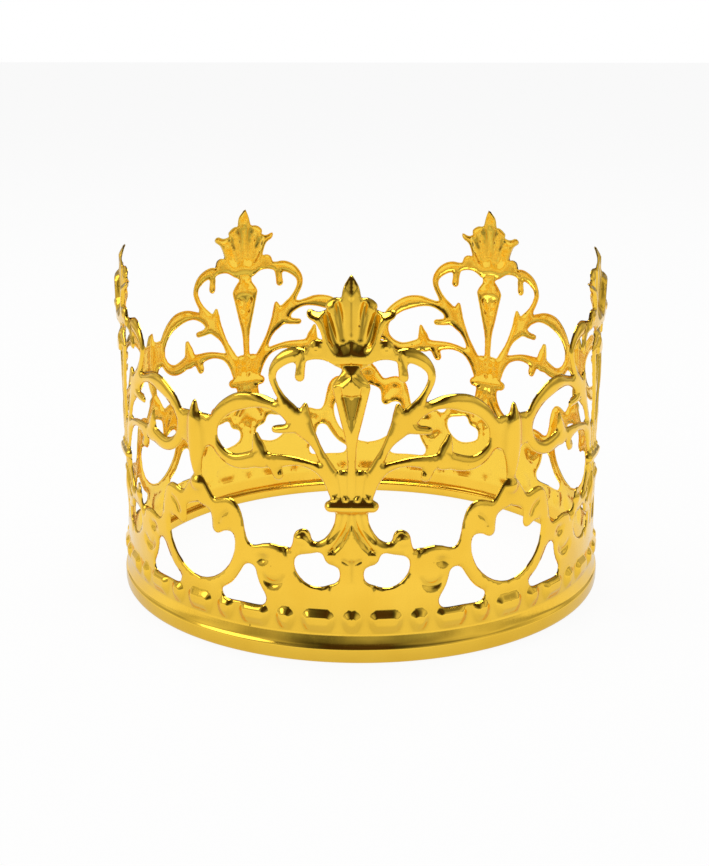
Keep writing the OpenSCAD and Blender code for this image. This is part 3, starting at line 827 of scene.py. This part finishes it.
# light of the room by height and by distance to the side, and its tints from the floor up
ROOM_STEPS = [(0, .46), (.06, .37), (.14, .22), (.24, .085), (.9, .035), (1, .05)]
ROOM_TINTS = [(.95, 1, 1.08, 1), (.95, 1.02, 1.1, 1), (.95, 1, 1.05, 1), (1, .75, .6, 1), (1.1, .55, .4, 1), WHITE]
SIDE_STEPS = [(.2, 0), (.45, .24), (.8, .58)]
# how uneven the room is: its pattern, and its darkest and brightest share
ROOM_SCALE = 2.2
ROOM_UNEVEN = (.55, 1.45)
# the floor: half its side, its tone, how bright it is to the camera and to the metal, and its painted light by distance
# as the metal mirrors it: a painted shadow ring at the crown's foot and a painted pool of light that dims further out
FLOOR_HALF = 6
FLOOR_TONE = (.9, .9, .9, 1)
FLOOR_TO_CAMERA = 0.93
FLOOR_TO_METAL = 0.88
FLOOR_PAINTED_LIGHT_AND_SHADOW = [(.058, 1), (.067, .74), (.08, .9), (.11, 1), (.34, 1), (.5, .8), (.9, .42)]
# soft lamps in metres and watts: name, place, size, power
LAMPS = [("overhead", (0, .1, 1.25), .8, 10.5), ("left", (-.8, -.4, .65), .6, 1.6)]
LAMP_AIM = Vector((0, 0, .04))
# the photograph's width, focal length and shift in pixels
PHOTO_WIDTH = 709
FOCAL_PX = 1366.25
SHIFT_PX = (-6.54, 9.54)
SENSOR = 36
# the camera's distance from the point it looks at in metres, and its rise and turn
CAMERA_FAR = 0.3817
CAMERA_RISE = 0.2943
CAMERA_TURN = math.radians(1.95)
CAMERA_AIM = Vector((0, 0, .03575))


def add_node(tree, kind, **settings):
    """New shader node with its settings."""
    node = tree.nodes.new("ShaderNode" + kind)
    for name, value in settings.items():
        setattr(node, name, value)
    return node


def feed(tree, node, values):
    """Links each named input to a socket, or gives it a constant."""
    for name, value in values.items():
        if isinstance(value, bpy.types.NodeSocket):
            tree.links.new(value, node.inputs[name])
        else:
            node.inputs[name].default_value = value
    return node


def noise(tree, place, scale, detail):
    """Soft random value."""
    return feed(tree, add_node(tree, "TexNoise"), {"Vector": place, "Scale": scale, "Detail": detail}).outputs["Fac"]


def ranged(tree, value, low, high, out_low, out_high):
    """Value moved from one range to another."""
    return feed(tree, add_node(tree, "MapRange"), {"Value": value, "From Min": low, "From Max": high,
                                                   "To Min": out_low, "To Max": out_high}).outputs["Result"]


def mixed(tree, factor, a, b, blend="MIX"):
    """Mix of two colours."""
    node = add_node(tree, "Mix", data_type="RGBA", blend_type=blend)
    return feed(tree, node, {"Factor": factor, "A": a, "B": b}).outputs["Result"]


def computed(tree, operation, *values):
    """Result of a calculation."""
    return feed(tree, add_node(tree, "Math", operation=operation), dict(enumerate(values))).outputs[0]


def grey_ramp(tree, value, stops):
    """Ramp of greys at the given places."""
    ramp = add_node(tree, "ValToRGB")
    elements = ramp.color_ramp.elements
    for stop, (at, _) in zip(elements, (stops[0], stops[-1])):
        stop.position = at
    for at, _ in stops[1:-1]:
        elements.new(at)
    for stop, (_, grey) in zip(elements, stops):
        stop.color = (grey, grey, grey, 1)
    tree.links.new(value, ramp.inputs[0])
    return ramp


def gilt():
    """Bright gold plate: drifts of tone, painted shade in the creases, wavy skin, polish marks, tiny pits, and an
    inside that is duller and painted a brighter gold.
    """
    mat = bpy.data.materials.new("gilt")
    mat.use_nodes = True
    tree = mat.node_tree
    shader = tree.nodes["Principled BSDF"]
    shader.inputs["Metallic"].default_value = 1
    place = add_node(tree, "TexCoord").outputs["Object"]
    crease, inner = (add_node(tree, "Attribute", attribute_name=name).outputs["Fac"] for name in ("crease", "inner"))

    drift = ranged(tree, noise(tree, place, DRIFT_SCALE, 3), *NOISE_SPAN, 0, 1)
    tone = mixed(tree, drift, GOLD_BRIGHT, GOLD_DEEP)
    # painted shade: the deeper a place lies in a crease, the more it is darkened toward brown
    tone = mixed(tree, ranged(tree, crease, 0, 1, 0, CREASE_PAINTED_SHADE_SHARE), tone, CREASE_PAINTED_SHADE)
    # painted light: the inside of the ring turned to the brighter gold
    tone = mixed(tree, inner, tone, INNER_PAINTED_LIGHT)
    cells = feed(tree, add_node(tree, "TexVoronoi"), {"Vector": place, "Scale": PIT_SCALE, "Randomness": 1})
    spot = ranged(tree, cells.outputs["Distance"], *PIT_EDGE, 1, 0)
    few = ranged(tree, noise(tree, place, PATCH_SCALE, 1), *PATCH_SPAN, 0, 1)
    pit = computed(tree, "MULTIPLY", spot, few)
    tone = mixed(tree, pit, tone, PIT_TONE)

    drawn = feed(tree, add_node(tree, "Mapping"), {"Vector": place, "Scale": MARK_STRETCH}).outputs["Vector"]
    marks = ranged(tree, noise(tree, drawn, MARK_SCALE, 2), *MARK_SPAN, *ROUGH)
    rough = computed(tree, "MULTIPLY_ADD", inner, INNER_ROUGH, computed(tree, "MULTIPLY_ADD", pit, PIT_ROUGH, marks))

    wave = feed(tree, add_node(tree, "Bump"),
                {"Strength": .25, "Distance": .00025, "Height": noise(tree, place, WAVE_SCALE, 1.5)})
    dent = feed(tree, add_node(tree, "Bump", invert=True),
                {"Strength": .5, "Distance": .0001, "Height": pit, "Normal": wave.outputs["Normal"]})
    feed(tree, shader, {"Base Color": tone, "Roughness": rough, "Normal": dent.outputs["Normal"]})
    return mat


def make_room():
    """White to the camera; to the metal a dim, slightly uneven room, brighter low down and at its sides."""
    world = bpy.data.worlds.new("studio")
    bpy.context.scene.world = world
    world.use_nodes = True
    tree = world.node_tree
    toward = add_node(tree, "TexCoord").outputs["Generated"]
    split = feed(tree, add_node(tree, "SeparateXYZ"), {"Vector": toward}).outputs
    height = grey_ramp(tree, split["Z"], ROOM_STEPS)
    for stop, tint in zip(height.color_ramp.elements, ROOM_TINTS):
        stop.color = [a * b for a, b in zip(stop.color, tint)]
    sides = grey_ramp(tree, computed(tree, "ABSOLUTE", split["X"]), SIDE_STEPS)
    walls = mixed(tree, 1, height.outputs["Color"], sides.outputs["Color"], "LIGHTEN")
    uneven = ranged(tree, noise(tree, toward, ROOM_SCALE, 1), *NOISE_SPAN, *ROOM_UNEVEN)
    walls = mixed(tree, 1, walls, uneven, "MULTIPLY")
    seen = add_node(tree, "LightPath").outputs["Is Camera Ray"]
    feed(tree, tree.nodes["Background"], {"Color": mixed(tree, seen, walls, WHITE)})


def make_floor():
    """White floor that keeps the crown's shadow; in what the metal mirrors it carries a painted shadow ring at the
    crown's foot and a painted pool of light that darkens with distance.
    """
    mesh = bpy.data.meshes.new("floor")
    side = FLOOR_HALF
    mesh.from_pydata([(-side, -side, 0), (side, -side, 0), (side, side, 0), (-side, side, 0)], [], [(0, 1, 2, 3)])
    floor = bpy.data.objects.new("floor", mesh)
    bpy.context.scene.collection.objects.link(floor)
    mat = bpy.data.materials.new("floor")
    mat.use_nodes = True
    tree = mat.node_tree
    shader = tree.nodes["Principled BSDF"]
    feed(tree, shader, {"Base Color": FLOOR_TONE, "Roughness": .9, "Specular IOR Level": 0})
    path = add_node(tree, "LightPath").outputs
    far = add_node(tree, "VectorMath", operation="LENGTH")
    tree.links.new(add_node(tree, "TexCoord").outputs["Object"], far.inputs[0])
    # painted shadow and light: what the metal mirrors sees a dark ring at the crown's foot and a glow that dims with
    # distance
    painted_floor_light = grey_ramp(tree, far.outputs["Value"], FLOOR_PAINTED_LIGHT_AND_SHADOW)
    glow = add_node(tree, "Emission")
    feed(tree, glow, {"Color": mixed(tree, path["Is Camera Ray"], painted_floor_light.outputs["Color"], WHITE)})
    mirrored = computed(tree, "ADD", path["Is Glossy Ray"], path["Is Transmission Ray"])
    share = computed(tree, "MULTIPLY_ADD", path["Is Camera Ray"], FLOOR_TO_CAMERA,
                     computed(tree, "MULTIPLY", mirrored, FLOOR_TO_METAL))
    blend = feed(tree, add_node(tree, "MixShader"), {0: share, 1: shader.outputs[0], 2: glow.outputs[0]})
    feed(tree, tree.nodes["Material Output"], {"Surface": blend.outputs[0]})
    mesh.materials.append(mat)


def make_lamps():
    """Soft lamps that look at the crown."""
    for name, place, size, power in LAMPS:
        data = bpy.data.lights.new(name, "AREA")
        data.shape = "DISK"
        data.size = size
        data.energy = power
        lamp = bpy.data.objects.new(name, data)
        lamp.location = place
        lamp.rotation_euler = (LAMP_AIM - Vector(place)).to_track_quat("-Z", "Y").to_euler()
        bpy.context.scene.collection.objects.link(lamp)


def scene_camera():
    """Camera at the photograph's angle."""
    data = bpy.data.cameras.new("camera")
    data.sensor_fit = "HORIZONTAL"
    data.sensor_width = SENSOR
    data.lens = FOCAL_PX / PHOTO_WIDTH * SENSOR
    data.shift_x, data.shift_y = (shift / PHOTO_WIDTH for shift in SHIFT_PX)
    cam = bpy.data.objects.new("camera", data)
    level = math.cos(CAMERA_RISE)
    toward = Vector((level * math.sin(CAMERA_TURN), -level * math.cos(CAMERA_TURN), math.sin(CAMERA_RISE)))
    cam.location = CAMERA_AIM + CAMERA_FAR * toward
    cam.rotation_euler = (CAMERA_AIM - cam.location).to_track_quat("-Z", "Y").to_euler()
    bpy.context.scene.collection.objects.link(cam)
    bpy.context.scene.camera = cam


bpy.context.scene.view_settings.view_transform = "Standard"
scene_camera()
crown = make_crown()
crown.data.materials.append(gilt())
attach(crown, "root")
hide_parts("crown")
make_room()
make_floor()
make_lamps()
